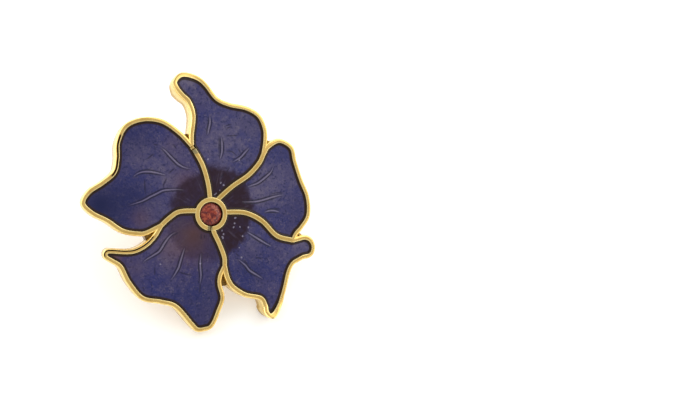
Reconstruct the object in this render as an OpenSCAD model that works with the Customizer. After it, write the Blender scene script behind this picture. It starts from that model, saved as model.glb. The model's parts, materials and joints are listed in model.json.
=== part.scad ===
/* [Cast body] */

// Thickness of the cast flower from back to rim top
body_t = 2.0; // [1.4:0.1:3]
// Radius of the dome that the whole flower follows
dome_r = 85; // [50:5:200]
// Width of the petal rims and of the partitions
wire_w = 0.6; // [0.4:0.02:0.9]
// Depth of a petal cell under the rim top
cell_d = 1.1; // [0.7:0.05:1.5]
// Depth of the small webs in the notches between petals
web_d = 0.8; // [0.4:0.1:1.4]
// Outer radius of the centre ring
ring_out_r = 2.0; // [1.6:0.02:2.6]
// Inner radius of the centre ring
ring_in_r = 1.4; // [1:0.01:2]
// Depth of the seat inside the centre ring
seat_d = 1.2; // [0.8:0.05:1.6]
// Width of the two small notches where a wire ends
notch_w = 0.34; // [0.2:0.02:0.6]
// Depth of those notches
notch_d = 0.22; // [0.1:0.02:0.4]

/* [Enamel] */

// Depth of the enamel surface under the rim top
enamel_d = 0.16; // [0.05:0.01:0.4]
// Clearance between the enamel and the metal
enamel_gap = 0.05; // [0.02:0.01:0.12]
// Height of the veins over the enamel
vein_h = 0.07; // [0.03:0.01:0.15]
// Width of a vein at its middle
vein_w = 0.2; // [0.1:0.02:0.4]

/* [Centre stone] */

// Radius of the stone at its girdle
stone_r = 1.34; // [1:0.01:1.9]
// Radius of the flat table
stone_table_r = 0.66; // [0.4:0.02:0.9]
// Height of the table over the ring top
stone_proud = 0.12; // [0:0.02:0.4]
// Height of the crown over the girdle
stone_crown = 0.42; // [0.2:0.02:0.6]
// Radius of the stone's blunt lower end
stone_base_r = 0.45; // [0.3:0.05:0.8]

/* [Ear post] */

// Radius of the post
post_r = 0.4; // [0.3:0.05:0.6]
// Length of the post behind its pad
post_len = 10; // [8:0.2:12]
// Radius of the solder pad
pad_r = 1.5; // [1:0.1:2.5]
// Thickness of the solder pad
pad_t = 0.4; // [0.3:0.1:0.8]
// Post position across the flower
post_x = -2; // [-3:0.1:-1]
// Post position up the flower
post_y = 4.5; // [3:0.1:6]
// Depth of the groove near the tip
groove_d = 0.08; // [0.04:0.01:0.12]
// Width of the groove
groove_w = 0.7; // [0.4:0.1:1]
// Distance from the tip to the middle of the groove
groove_end = 2.35; // [1.6:0.05:3]

/* [Hidden] */

$fn = 96;

// Samples on each span between two control points
span_n = 5;
// Height of the solder seat under the back, its margin round the pad and its clearance to the pad
seat_h = 0.25;
seat_rim = 0.4;
pad_gap = 0.03;
// Clearance under the stone, and the height of its girdle
stone_gap = 0.05;
girdle_h = 0.1;
// Heights between which a petal outline is swept towards the dome centre
sweep_lo = -2.6;
sweep_hi = 2.9;
// Height of the dome centre
dome_z = body_t - dome_r;

// Partitions from the ring to a notch between two petals. Columns: x, y
part_top_left = [[-0.17, 1.99], [-0.4, 3.69], [-1.05, 5.84], [-2.28, 8.04]];
part_top_right = [[1, 1.89], [2.7, 3.29], [4.7, 4.59], [6.1, 5.99], [6.75, 7.14]];
part_right = [[2.1, 0.24], [4.3, 0.14], [6.4, -0.81], [8.35, -2.56], [10.5, -3.13]];
part_bottom = [[0.25, -1.86], [0.5, -2.46], [1.06, -3.55], [1.65, -5.01], [1.75, -6.11]];
part_left = [[-1.9, 0.39], [-3.9, 0.29], [-5.1, -0.43], [-6.1, -1.33]];

// Middle line of each petal's outer rim, clockwise from notch to notch. Columns: x, y
edge_top = [[-2.28, 8.04], [-2.26, 9.29], [-1.96, 11.59], [-2.39, 13.24], [-3.25, 14.03], [-4, 14.79],
    [-4.33, 15.49], [-3.72, 16.23], [-2.59, 16.36], [-1.11, 15.98], [-0.05, 15.14], [1.1, 13.69],
    [2.73, 12.99], [4.83, 12.59], [6.39, 11.67], [7.07, 10.09], [7.05, 8.59], [6.75, 7.14]];
edge_right = [[6.75, 7.14], [7.4, 8.04], [8.9, 8.76], [10.48, 7.96], [10.9, 6.29], [11.62, 4.13],
    [12.52, 2.02], [12.6, -0.16], [11.6, -1.66], [11, -2.26], [10.5, -3.13]];
edge_lower_right = [[10.5, -3.13], [11.3, -2.94], [12.15, -2.78], [12.9, -3.06], [13.35, -3.76],
    [13.3, -4.51], [12.83, -4.99], [11.97, -5.18], [11.25, -5.51], [10.56, -5.94], [10.03, -7.01],
    [9.62, -8.91], [9.15, -10.41], [8.3, -11.61], [7.54, -12.03], [7.15, -11.61], [7.12, -10.91],
    [6.5, -10.01], [4.5, -9.56], [2.9, -8.61], [2.15, -7.51], [1.75, -6.11]];
edge_lower_left = [[1.75, -6.11], [1.23, -7.31], [1.2, -8.31], [1.63, -9.91], [1.13, -11.61],
    [0.68, -12.81], [0.2, -13.43], [-0.6, -13.67], [-1.35, -13.69], [-2.02, -13.11], [-4.1, -10.91],
    [-6, -10.31], [-8.23, -9.86], [-9.9, -8.01], [-10.9, -6.19], [-11.88, -5.53], [-12.7, -4.99],
    [-12.45, -4.35], [-10.31, -4.41], [-9.05, -4.23], [-7.8, -3.53], [-6.86, -2.54], [-6.1, -1.33]];
edge_left = [[-6.1, -1.33], [-6.9, -1.73], [-7.9, -2.19], [-8.8, -2.29], [-10.7, -1.96], [-12.56, -0.78],
    [-14.37, 0.13], [-15.45, 1.29], [-14.73, 2.62], [-13.1, 3.69], [-11.7, 4.89], [-11.3, 6.49],
    [-11.2, 8.49], [-10.18, 10.39], [-8.11, 11.19], [-5.79, 10.93], [-3.74, 9.55], [-2.28, 8.04]];

// Recessed webs. Columns: three corners of each triangle, share of the web depth
webs = [
    [[-2.28, 8.04], [-3.35, 9.39], [-2.3, 9.59], 1],
    [[6.75, 7.14], [7.05, 8.99], [8.1, 8.54], 0.45],
    [[10.5, -3.13], [11.3, -2.01], [12.2, -2.76], 0.45],
    [[1.75, -6.11], [2.7, -8.41], [1.2, -8.66], 1],
    [[-6.1, -1.33], [-7.65, -3.31], [-8.05, -2.31], 1]
];

// Petal tips that turn up. Columns: x, y, direction in degrees, radius of the turn
curls = [[-1, 13.2, 120, 7], [7.8, -9.8, -72, 2.6]];
// Length and width of the stretch that turns up, and how far its start dips so that it blends in
curl_len = 5.7;
curl_w = 5.4;
curl_dip = 0.03;

// Size of the wedge that bevels the back of a tip
bevel_len = 9;
bevel_w = 6;
// Petal tips with a bevelled back. Columns: x, y, direction in degrees, slope in degrees
bevels = [
    [-3.3, 15, 135, 42],
    [7.22, -11.24, -75, 40],
    [-14.2, 1.6, 175, 25],
    [-11.9, -4.9, 190, 25],
    [12.3, -3.7, -15, 25]
];

// Small gaps where a wire ends. Columns: x, y, direction in degrees
notches = [[-0.17, -1.65, 85], [-2.1, 7.8, 35]];

// Veins of each petal, from the outer end inwards. Columns: x, y
veins_top = [
    [[0.19, 11.48], [0.19, 10.58], [-0.11, 9.78], [-0.31, 9.18]],
    [[1.49, 9.18], [1.49, 8.18], [1.39, 7.18], [1.19, 6.28]],
    [[4.89, 7.88], [4.29, 7.08], [3.49, 6.48], [2.59, 5.88]]
];
veins_right = [
    [[8.19, 6.38], [7.59, 5.38], [6.89, 4.58], [5.79, 3.88], [4.49, 3.38]],
    [[9.19, 2.38], [7.89, 2.08], [6.69, 1.68], [5.39, 1.48], [3.79, 1.48]],
    [[8.39, 0.48], [7.39, 0.58], [6.49, 0.28]]
];
veins_lower_right = [
    [[4.19, -1.92], [5.39, -2.62], [6.49, -3.22], [7.59, -3.72]],
    [[2.89, -4.62], [4.29, -5.72], [5.49, -6.82], [6.29, -7.42]]
];
veins_lower_left = [
    [[-4.21, -1.72], [-5.11, -2.72], [-6.01, -3.92], [-7.11, -4.72], [-8.01, -5.42]],
    [[-3.11, -4.02], [-3.21, -5.02], [-3.81, -6.22], [-4.81, -7.62]],
    [[-1.11, -5.32], [-1.11, -6.42], [-0.91, -7.62], [-1.11, -8.92]]
];
veins_left = [
    [[-6.41, 8.08], [-5.41, 7.28], [-4.61, 6.38], [-3.51, 5.58], [-2.41, 5.28]],
    [[-9.21, 4.48], [-8.11, 4.88], [-6.81, 4.88], [-5.51, 4.38]],
    [[-9.91, 1.08], [-8.61, 1.48], [-7.31, 2.08], [-5.61, 2.68], [-3.11, 2.78]]
];

// Point on a smooth curve through b and c at share t
function span_point(a, b, c, d, t) =
    0.5 * (2 * b + (c - a) * t + (2 * a - 5 * b + 4 * c - d) * t * t + (3 * b - a - 3 * c + d) * t * t * t);

// Control point i, with one mirrored point past each end
function knot(p, i) = i < 0 ? 2 * p[0] - p[1] : i > len(p) - 1 ? 2 * p[len(p) - 1] - p[len(p) - 2] : p[i];

// Smooth open curve through the control points
function curve(p) = [
    for (i = [0 : len(p) - 2], k = [0 : span_n - 1])
        span_point(knot(p, i - 1), p[i], p[i + 1], knot(p, i + 2), k / span_n),
    p[len(p) - 1]
];

function backwards(p) = [for (i = [len(p) - 1 : -1 : 0]) p[i]];

// Middle line of the wires round one petal, starting in the ring centre
function petal_loop(from, edge, to) = concat([[0, 0]], curve(from), curve(edge), backwards(curve(to)));

top_loop = petal_loop(part_top_left, edge_top, part_top_right);
right_loop = petal_loop(part_top_right, edge_right, part_right);
lower_right_loop = petal_loop(part_right, edge_lower_right, part_bottom);
lower_left_loop = petal_loop(part_bottom, edge_lower_left, part_left);
left_loop = petal_loop(part_left, edge_left, part_top_left);
loops = [top_loop, right_loop, lower_right_loop, lower_left_loop, left_loop];

// Point at plan position p and height h over the dome
function on_dome(p, h) = [0, 0, dome_z] + [p[0], p[1], dome_r] / norm([p[0], p[1], dome_r]) * (dome_r + h);

// Outer edge of a rim's underside, from the middle line of the rim
function under_edge(p) = [
    for (i = [1 : len(p) - 2])
        let (t = unit(p[i + 1] - p[i - 1]))
            on_dome(p[i] + [-t[1], t[0]] * wire_w / 2, -body_t)
];

function unit(v) = v / norm(v);

// Lowest of a list of points along the direction up
function lowest(list, up) = let (h = [for (q = list) q * up]) list[search(min(h), h)[0]];

// Floor direction through two rim points and under the ball at the post's end
function floor_up(a, b, ball) =
    let (
        along = unit(b - a),
        to_ball = (ball - a) - along * ((ball - a) * along),
        plane = unit(cross(along, to_ball)),
        flat = plane[2] > 0 ? plane : -plane,
        turn = asin(post_r / norm(to_ball))
    ) flat * cos(turn) + unit(to_ball) * sin(turn);

post_z = -seat_h - pad_gap - pad_t;
tip_ball = [post_x, post_y, post_z - post_len + post_r];

// Samples of a rim from control point a to control point b, with one more at each end
function stretch(p, a, b) = let (c = curve(p)) [for (i = [a * span_n - 1 : b * span_n + 1]) c[i]];

// Stretches of the two lower petals' rims that can meet the floor
rim_lower_left = under_edge(stretch(edge_lower_left, 4, 9));
rim_lower_right = under_edge(stretch(edge_lower_right, 9, 12));

// The floor is found in a few rounds, each with the lowest point of both stretches
up_0 = floor_up(rim_lower_left[0], rim_lower_right[0], tip_ball);
up_1 = floor_up(lowest(rim_lower_left, up_0), lowest(rim_lower_right, up_0), tip_ball);
up_2 = floor_up(lowest(rim_lower_left, up_1), lowest(rim_lower_right, up_1), tip_ball);
up_3 = floor_up(lowest(rim_lower_left, up_2), lowest(rim_lower_right, up_2), tip_ball);
floor_z = min(lowest(rim_lower_left, up_3) * up_3, lowest(rim_lower_right, up_3) * up_3,
    tip_ball * up_3 - post_r);
rest_x = unit([1, 0, 0] - up_3 * up_3[0]);
rest_y = cross(up_3, rest_x);

// Rim points of every petal, over and under, for the middle of the resting flower
all_edges = concat(curve(edge_top), curve(edge_right), curve(edge_lower_right), curve(edge_lower_left),
    curve(edge_left));
rim_points = concat([for (p = all_edges) on_dome(p + unit(p) * wire_w / 2, 0)],
    [for (p = all_edges) on_dome(p + unit(p) * wire_w / 2, -body_t)]);
span_x = [for (q = rim_points) q * rest_x];
span_y = [for (q = rim_points) q * rest_y];
middle_x = (max(span_x) + min(span_x)) / 2;
middle_y = (max(span_y) + min(span_y)) / 2;

// Lays the flower on its rim and its post, as a loose stud lies
module rest() {
    multmatrix([
        [rest_x[0], rest_x[1], rest_x[2], -middle_x],
        [rest_y[0], rest_y[1], rest_y[2], -middle_y],
        [up_3[0], up_3[1], up_3[2], -floor_z],
        [0, 0, 0, 1]
    ])
        children();
}

// Solid that holds everything deeper than d under the rim tops
module form(d) {
    translate([0, 0, dome_z])
        sphere(r = dome_r - d, $fn = 240);
    for (c = curls)
        curl(c, d);
}

// Filling under a petal tip that turns up, d under the rim top
module curl(c, d) {
    foot = on_dome([c[0], c[1]], 0);
    lean = atan2(norm([foot[0], foot[1]]), foot[2] - dome_z);
    translate(foot)
        rotate([0, 0, atan2(foot[1], foot[0])])
            rotate([0, lean, 0])
                rotate([0, 0, c[2] - atan2(foot[1], foot[0])])
                    difference() {
                        translate([0.1, -curl_w / 2, -body_t])
                            cube([curl_len, curl_w, body_t + c[3] / 2]);
                        translate([0, -curl_w / 2 - 1, c[3] - curl_dip])
                            rotate([-90, 0, 0])
                                cylinder(r = c[3] + d, h = curl_w + 2);
                    }
}

// Flat outline swept towards the dome centre
module radial() {
    lo = (sweep_lo - dome_z) / dome_r;
    hi = (sweep_hi - dome_z) / dome_r;
    translate([0, 0, sweep_lo])
        linear_extrude(height = sweep_hi - sweep_lo, scale = hi / lo)
            scale(lo)
                children();
}

module petal_cell(loop, inset) {
    difference() {
        offset(delta = -wire_w / 2 - inset)
            polygon(loop);
        circle(r = ring_out_r + inset);
    }
}

module flower_outline() {
    for (loop = loops)
        offset(delta = wire_w / 2)
            polygon(loop);
    for (w = webs)
        triangle(w);
}

module triangle(w) {
    polygon([w[0], w[1], w[2]]);
}

module web_opening(w) {
    difference() {
        offset(delta = 0.5)
            triangle(w);
        for (loop = loops)
            offset(delta = wire_w / 2)
                polygon(loop);
    }
}

// Wedge that thins the back of a petal tip
module back_bevel(b) {
    translate(on_dome([b[0], b[1]], -body_t))
        rotate([0, 0, b[2]])
            rotate([0, -b[3], 0])
                translate([-bevel_len / 3, -bevel_w / 2, -2 * body_t])
                    cube([bevel_len, bevel_w, 2 * body_t]);
}

module gilt_body() {
    color("gold") rest() {
        difference() {
            intersection() {
                radial()
                    flower_outline();
                form(0);
            }
            difference() {
                radial()
                    for (loop = loops)
                        petal_cell(loop, 0);
                form(cell_d);
            }
            for (w = webs)
                difference() {
                    radial()
                        web_opening(w);
                    form(web_d * w[3]);
                }
            translate([0, 0, dome_z])
                sphere(r = dome_r - body_t, $fn = 240);
            translate([0, 0, body_t - seat_d])
                cylinder(r = ring_in_r, h = seat_d + 1);
            for (b = bevels)
                back_bevel(b);
            for (n = notches)
                wire_notch(n);
        }
        translate([post_x, post_y, -seat_h])
            cylinder(r = pad_r + seat_rim, h = seat_h + body_t / 4);
    }
}

// Small gap across a wire
module wire_notch(n) {
    translate(on_dome([n[0], n[1]], -notch_d))
        rotate([0, 0, n[2]])
            translate([-wire_w, -notch_w / 2, 0])
                cube([wire_w * 2, notch_w, 1]);
}

// One closed vein, widest in the middle
module vein(p) {
    c = curve(p);
    n = len(c) - 1;
    half = [for (i = [0 : n]) vein_w / 2 * (0.35 + 0.65 * sin(180 * i / n))];
    side = [for (i = [0 : n]) let (t = unit(c[min(i + 1, n)] - c[max(i - 1, 0)])) [-t[1], t[0]]];
    polygon(concat([for (i = [0 : n]) c[i] + side[i] * half[i]],
        backwards([for (i = [0 : n]) c[i] - side[i] * half[i]])));
}

module enamel(loop, veins) {
    color("slateblue") rest()
        difference() {
            union() {
                intersection() {
                    radial()
                        petal_cell(loop, enamel_gap);
                    form(enamel_d);
                }
                intersection() {
                    radial()
                        for (v = veins)
                            vein(v);
                    form(enamel_d - vein_h);
                }
            }
            form(cell_d - enamel_gap);
        }
}

module enamel_top() {
    enamel(top_loop, veins_top);
}

module enamel_right() {
    enamel(right_loop, veins_right);
}

module enamel_lower_right() {
    enamel(lower_right_loop, veins_lower_right);
}

module enamel_lower_left() {
    enamel(lower_left_loop, veins_lower_left);
}

module enamel_left() {
    enamel(left_loop, veins_left);
}

// Eight-sided cone whose faces meet the crown's top at radius top_r and its foot at radius foot_r
module crown_cone(foot_r, top_r) {
    cylinder(r1 = foot_r, r2 = top_r, h = stone_crown, $fn = 8);
}

// Round stone with a table, eight main facets and eight corner facets on its crown
module centre_stone() {
    girdle_z = body_t + stone_proud - stone_crown;
    base_z = body_t - seat_d + stone_gap;
    pavilion_h = girdle_z - base_z - girdle_h;
    color("firebrick") rest()
        translate([0, 0, girdle_z])
            intersection() {
                translate([0, 0, base_z - girdle_z])
                    cylinder(r = stone_r, h = body_t, $fn = 16);
                union() {
                    intersection() {
                        crown_cone(stone_r * 1.14, stone_table_r);
                        rotate([0, 0, 22.5])
                            crown_cone(stone_r * 1.3, stone_table_r * 0.98);
                    }
                    translate([0, 0, -girdle_h])
                        cylinder(r = stone_r, h = girdle_h, $fn = 16);
                    translate([0, 0, base_z - girdle_z])
                        cylinder(r1 = stone_base_r, r2 = stone_r, h = pavilion_h, $fn = 16);
                }
            }
}

// Ring with a sharp inner edge that cuts the groove
module post_groove() {
    rotate_extrude()
        polygon([
            [post_r - groove_d, 0],
            [post_r + groove_d, groove_w],
            [post_r + groove_d, -groove_w]
        ]);
}

module ear_post() {
    color("goldenrod") rest()
        difference() {
            union() {
                translate([post_x, post_y, post_z])
                    cylinder(r = pad_r, h = pad_t);
                translate(tip_ball)
                    cylinder(r = post_r, h = post_len - post_r + pad_t / 2);
                translate(tip_ball)
                    sphere(r = post_r);
            }
            translate([post_x, post_y, post_z - post_len + groove_end])
                post_groove();
        }
}

gilt_body();
enamel_top();
enamel_right();
enamel_lower_right();
enamel_lower_left();
enamel_left();
centre_stone();
ear_post();
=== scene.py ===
import json

import bmesh
import bpy
import numpy as np
from mathutils import Matrix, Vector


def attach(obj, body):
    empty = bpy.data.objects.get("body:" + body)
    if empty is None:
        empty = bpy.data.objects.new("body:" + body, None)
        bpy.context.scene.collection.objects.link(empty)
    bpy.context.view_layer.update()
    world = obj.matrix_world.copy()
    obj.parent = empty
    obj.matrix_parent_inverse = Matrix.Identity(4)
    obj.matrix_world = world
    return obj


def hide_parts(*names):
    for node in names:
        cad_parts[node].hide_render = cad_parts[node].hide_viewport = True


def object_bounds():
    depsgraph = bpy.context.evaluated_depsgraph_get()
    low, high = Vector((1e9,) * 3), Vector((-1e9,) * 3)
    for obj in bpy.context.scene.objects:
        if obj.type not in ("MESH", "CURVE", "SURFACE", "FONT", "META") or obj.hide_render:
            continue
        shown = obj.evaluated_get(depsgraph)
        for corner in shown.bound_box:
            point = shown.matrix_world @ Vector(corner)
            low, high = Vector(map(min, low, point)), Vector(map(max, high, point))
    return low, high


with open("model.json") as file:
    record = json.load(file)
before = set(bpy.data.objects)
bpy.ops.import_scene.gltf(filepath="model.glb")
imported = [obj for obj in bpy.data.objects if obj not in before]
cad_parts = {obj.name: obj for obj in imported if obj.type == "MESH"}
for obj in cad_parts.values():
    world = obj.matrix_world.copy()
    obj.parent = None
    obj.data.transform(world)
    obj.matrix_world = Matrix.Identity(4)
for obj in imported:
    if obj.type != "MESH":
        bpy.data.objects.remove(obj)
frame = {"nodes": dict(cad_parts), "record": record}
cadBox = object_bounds()

# All sizes are in millimetres on the flower's own axes: x to the right, y up, z out of its face.
# The ring's centre is at x = y = 0, and the rim tops there lie at z = thickness.
flower = {
    "thickness": 2.0,  # back to rim top
    "domeRadius": 85.0,  # the whole flower follows this dome
    "wireWidth": 0.6,  # rims and partitions
    "mountPoint": (-2.0, 4.5, -4.33),  # middle of the ear post's shaft
    "turnedUpTips": [(-1.0, 13.2, 120, 7.0), (7.8, -9.8, -72, 2.6)],  # x, y, direction, radius of the turn
    "turnLength": 5.7,
    "turnWidth": 5.4,
    "turnDip": 0.03,  # start of a turn under the dome
    "turnReach": 0.9,  # most of a radius that its turn goes round
    "turnSide": (0.1, 0.3),  # a turn's sides stand so far out, and fade over so much
    "bevels": [(-3.3, 15.0, 135, 42), (7.22, -11.24, -75, 40), (-14.2, 1.6, 175, 25), (-11.9, -4.9, 190, 25),
               (12.3, -3.7, -15, 25)],  # x, y, direction, slope of the bevelled backs
    "bevelWidth": 6.0,
    "bevelLead": 1.0,  # a bevel may start so far before its point
    "notches": [(-0.17, -1.65, 85), (-2.1, 7.8, 35)],  # x, y, direction of the gaps where a wire ends
    "notchWidth": 0.34,
    "notchDepth": 0.22,
    "notchFade": 0.1,
}

# Wires from the ring to the notch between two petals. Columns: x, y
partitions = {
    "topLeft": [(-0.17, 1.99), (-0.4, 3.69), (-1.05, 5.84), (-2.28, 8.04)],
    "topRight": [(1, 1.89), (2.7, 3.29), (4.7, 4.59), (6.1, 5.99), (6.75, 7.14)],
    "right": [(2.1, 0.24), (4.3, 0.14), (6.4, -0.81), (8.35, -2.56), (10.5, -3.13)],
    "bottom": [(0.25, -1.86), (0.5, -2.46), (1.06, -3.55), (1.65, -5.01), (1.75, -6.11)],
    "left": [(-1.9, 0.39), (-3.9, 0.29), (-5.1, -0.43), (-6.1, -1.33)],
}

# Each petal lies between two partitions, with its rim clockwise from notch to notch. Two corners cut its outline
# into a left side, a far end and a right side. Its veins are raised, and its creases are fine dark marks.
# Columns: x, y
petals = {
    "top": {
        "between": ("topLeft", "topRight"),
        "rim": [(-2.28, 8.04), (-2.26, 9.29), (-1.96, 11.59), (-2.39, 13.24), (-3.25, 14.03), (-4, 14.79),
                (-4.33, 15.49), (-3.72, 16.23), (-2.59, 16.36), (-1.11, 15.98), (-0.05, 15.14), (1.1, 13.69),
                (2.73, 12.99), (4.83, 12.59), (6.39, 11.67), (7.07, 10.09), (7.05, 8.59), (6.75, 7.14)],
        "corners": [(-4.2, 15.9), (6.4, 11.7)],
        "veins": [[(0.1, 11.6), (0.1, 10.8), (-0.07, 10.1), (-0.25, 9.3)],
                  [(1.45, 9.1), (1.5, 8.1), (1.45, 7.25), (1.2, 6.45)],
                  [(4.95, 7.85), (4.4, 7.3), (3.75, 6.65), (3.1, 6.3), (2.8, 6.1)]],
        "creases": [[(4.6, 7.05), (4.15, 6.65)], [(3.55, 7.75), (3.85, 7.15)], [(2, 9.2), (3.65, 9.3)],
                    [(2, 10.4), (2.85, 10.65)], [(2.1, 10.1), (2.8, 10.35)], [(1.65, 4.8), (1.2, 4.2)],
                    [(2.4, 5.5), (2, 4.95)], [(1.9, 7.4), (2.7, 7.35), (3.4, 6.8)],
                    [(1.2, 9.3), (1.15, 8.2), (1.1, 7.2)]],
    },
    "right": {
        "between": ("topRight", "right"),
        "rim": [(6.75, 7.14), (7.4, 8.04), (8.9, 8.76), (10.48, 7.96), (10.9, 6.29), (11.62, 4.13),
                (12.52, 2.02), (12.6, -0.16), (11.6, -1.66), (11, -2.26), (10.5, -3.13)],
        "corners": [(10.3, 8.1), (12.4, -0.4)],
        "veins": [[(8, 5.62), (7.65, 4.97), (7, 4.4), (6, 3.7), (5.25, 3.42), (4.6, 3.2)],
                  [(9.25, 2.25), (8.7, 2.2), (8.05, 2.05), (7.1, 1.8), (6.45, 1.62), (5.7, 1.47), (4.6, 1.42),
                   (3.85, 1.42)], [(8.75, 0.22), (8.05, 0.38), (7.4, 0.38), (6.75, 0.22)]],
        "creases": [[(7.9, 4.9), (7.2, 4.3)], [(9.3, 2.5), (8.3, 2.5), (7.6, 2.3)],
                    [(8.9, 0.55), (7.9, 0.75)], [(7.6, -0.9), (7.9, -1.4)], [(6.1, 4.4), (6.4, 5)]],
    },
    "lower_right": {
        "between": ("right", "bottom"),
        "rim": [(10.5, -3.13), (11.3, -2.94), (12.15, -2.78), (12.9, -3.06), (13.35, -3.76), (13.3, -4.51),
                (12.83, -4.99), (11.97, -5.18), (11.25, -5.51), (10.56, -5.94), (10.03, -7.01), (9.62, -8.91),
                (9.15, -10.41), (8.3, -11.61), (7.54, -12.03), (7.15, -11.61), (7.12, -10.91), (6.5, -10.01),
                (4.5, -9.56), (2.9, -8.61), (2.15, -7.51), (1.75, -6.11)],
        "corners": [(13.2, -3.9), (7.6, -11.8)],
        "veins": [[(4.5, -2.1), (5.55, -2.7), (6.8, -3.4), (7.7, -3.85)],
                  [(3.5, -5.35), (4.4, -6.05), (5, -6.7), (6.05, -7.3), (6.7, -7.7)]],
        "creases": [[(4.15, -5.35), (4.8, -6.05)], [(3.6, -5), (3.1, -4.6)], [(5.7, -5.1), (6.6, -5.3)],
                    [(3.7, -1.4), (3.9, -1.8)]],
    },
    "lower_left": {
        "between": ("bottom", "left"),
        "rim": [(1.75, -6.11), (1.23, -7.31), (1.2, -8.31), (1.63, -9.91), (1.13, -11.61), (0.68, -12.81),
                (0.2, -13.43), (-0.6, -13.67), (-1.35, -13.69), (-2.02, -13.11), (-4.1, -10.91), (-6, -10.31),
                (-8.23, -9.86), (-9.9, -8.01), (-10.9, -6.19), (-11.88, -5.53), (-12.7, -4.99), (-12.45, -4.35),
                (-10.31, -4.41), (-9.05, -4.23), (-7.8, -3.53), (-6.86, -2.54), (-6.1, -1.33)],
        "corners": [(-0.6, -13.4), (-12.5, -4.9)],
        "veins": [[(-4.3, -2.05), (-5, -2.55), (-5.6, -3.3), (-6.2, -4.25), (-6.8, -4.7), (-7.9, -5.35),
                   (-8.2, -5.7)],
                  [(-3.2, -3.9), (-3.45, -4.7), (-3.7, -5.55), (-3.95, -6.35), (-4.45, -7.2), (-4.8, -7.7)],
                  [(-1.2, -4.6), (-1.25, -5.2), (-1.25, -6.15), (-1.15, -7.2), (-1.25, -8.3)]],
        "creases": [[(-3.95, -2.1), (-4.55, -2.5)], [(-6.8, -6.2), (-6.75, -7.2)],
                    [(-4.15, -6.65), (-3.1, -7), (-2.1, -7.2)], [(-1.2, -2.3), (-1.2, -3)],
                    [(-0.8, -2.4), (-0.8, -2.9)], [(-1.15, -8), (-1.25, -9.3)],
                    [(-8.15, -8.5), (-8.1, -8.8)]],
    },
    "left": {
        "between": ("left", "topLeft"),
        "rim": [(-6.1, -1.33), (-6.9, -1.73), (-7.9, -2.19), (-8.8, -2.29), (-10.7, -1.96), (-12.56, -0.78),
                (-14.37, 0.13), (-15.45, 1.29), (-14.73, 2.62), (-13.1, 3.69), (-11.7, 4.89), (-11.3, 6.49),
                (-11.2, 8.49), (-10.18, 10.39), (-8.11, 11.19), (-5.79, 10.93), (-3.74, 9.55), (-2.28, 8.04)],
        "corners": [(-15.1, 1.35), (-10.4, 9.9)],
        "veins": [[(-6.05, 7.85), (-5.5, 7.4), (-4.95, 6.8), (-4.35, 6.2), (-3.9, 5.8), (-3.2, 5.45),
                   (-2.45, 5.3)],
                  [(-9.4, 4.4), (-8.75, 4.8), (-8, 4.97), (-7.15, 4.93), (-6.25, 4.75), (-5.5, 4.55)],
                  [(-10.05, 1), (-9.05, 1.3), (-8.2, 1.6), (-7.35, 2.05), (-6.6, 2.4), (-5.85, 2.75),
                   (-4.95, 2.85), (-4.1, 2.87), (-3.3, 2.8)]],
        "creases": [[(-5.35, 4.3), (-5.7, 3.55), (-5.8, 2.9)], [(-7.75, 6.4), (-7.2, 6.85), (-6.75, 7.1)],
                    [(-8.05, 4.2), (-8, 3.1), (-7.95, 2.35)], [(-5.2, 4.7), (-4.3, 5.45)],
                    [(-6.9, 8.2), (-6.3, 8.1)], [(-4.5, 8.2), (-4.1, 7.6)]],
    },
}

# Distance between the samples of each kind of path.
sampling = {"wire": 0.09, "outline": 0.05, "mark": 0.04}

# The flower rests tilted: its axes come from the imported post, whose across axis is level.
mount = frame["record"]["mounts"][0]
normalAxis = -np.array(mount["axis"]) / np.linalg.norm(mount["axis"])
acrossAxis = np.cross((0.0, 1.0, 0.0), normalAxis)
acrossAxis /= np.linalg.norm(acrossAxis)
flowerAxes = np.stack([acrossAxis, np.cross(normalAxis, acrossAxis), normalAxis])
flowerOrigin = np.array(mount["pos_m"]) * 1000 - np.array(flower["mountPoint"]) @ flowerAxes
domeCentre = np.array([0, 0, flower["thickness"] - flower["domeRadius"]])


# Place in the scene, in metres: the origin plus each coordinate times its axis.
def toScene(points):
    return (np.asarray(points) @ flowerAxes + flowerOrigin) * 0.001


# Point over the dome: the ray from the dome's centre through (x, y) on the plane of the rim tops, at the distance
# radius + height.
def onDome(x, y, height):
    radius = flower["domeRadius"]
    ray = np.stack([x, y, np.full_like(x, radius)], -1)
    ray /= np.linalg.norm(ray, axis=-1, keepdims=True)
    return ray * (radius + height)[..., None] + domeCentre


# 0 below low, 1 above high, and an S-curve between: 3t^2 - 2t^3.
def smoothStep(value, low, high):
    t = np.clip((value - low) / (high - low), 0, 1)
    return t * t * (3 - 2 * t)


# Coordinates along and across a direction, from a foot point.
def alongAcross(x, y, footX, footY, degrees):
    c, s = np.cos(np.radians(degrees)), np.sin(np.radians(degrees))
    return (x - footX) * c + (y - footY) * s, (y - footY) * c - (x - footX) * s


# Height over the dome of the surface that lies depth under the rim tops: -depth on the dome, and
# radius - dip - sqrt((radius + depth)^2 - s^2) + s^2 / 2R at s along a tip that turns up.
def frontHeight(x, y, depth=0.0):
    height = np.full_like(x, -depth)
    out, fade = flower["turnSide"]
    for footX, footY, degrees, radius in flower["turnedUpTips"]:
        along, across = alongAcross(x, y, footX, footY, degrees)
        s = np.clip(along, 0, min(flower["turnLength"], radius * flower["turnReach"]))
        arc = radius - flower["turnDip"] - np.sqrt((radius + depth) ** 2 - s ** 2) \
            + s ** 2 / 2 / flower["domeRadius"]
        share = smoothStep(flower["turnWidth"] / 2 + out - np.abs(across), 0, fade) * (along > 0)
        height += np.maximum(arc + depth, 0) * share
    return height


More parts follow.
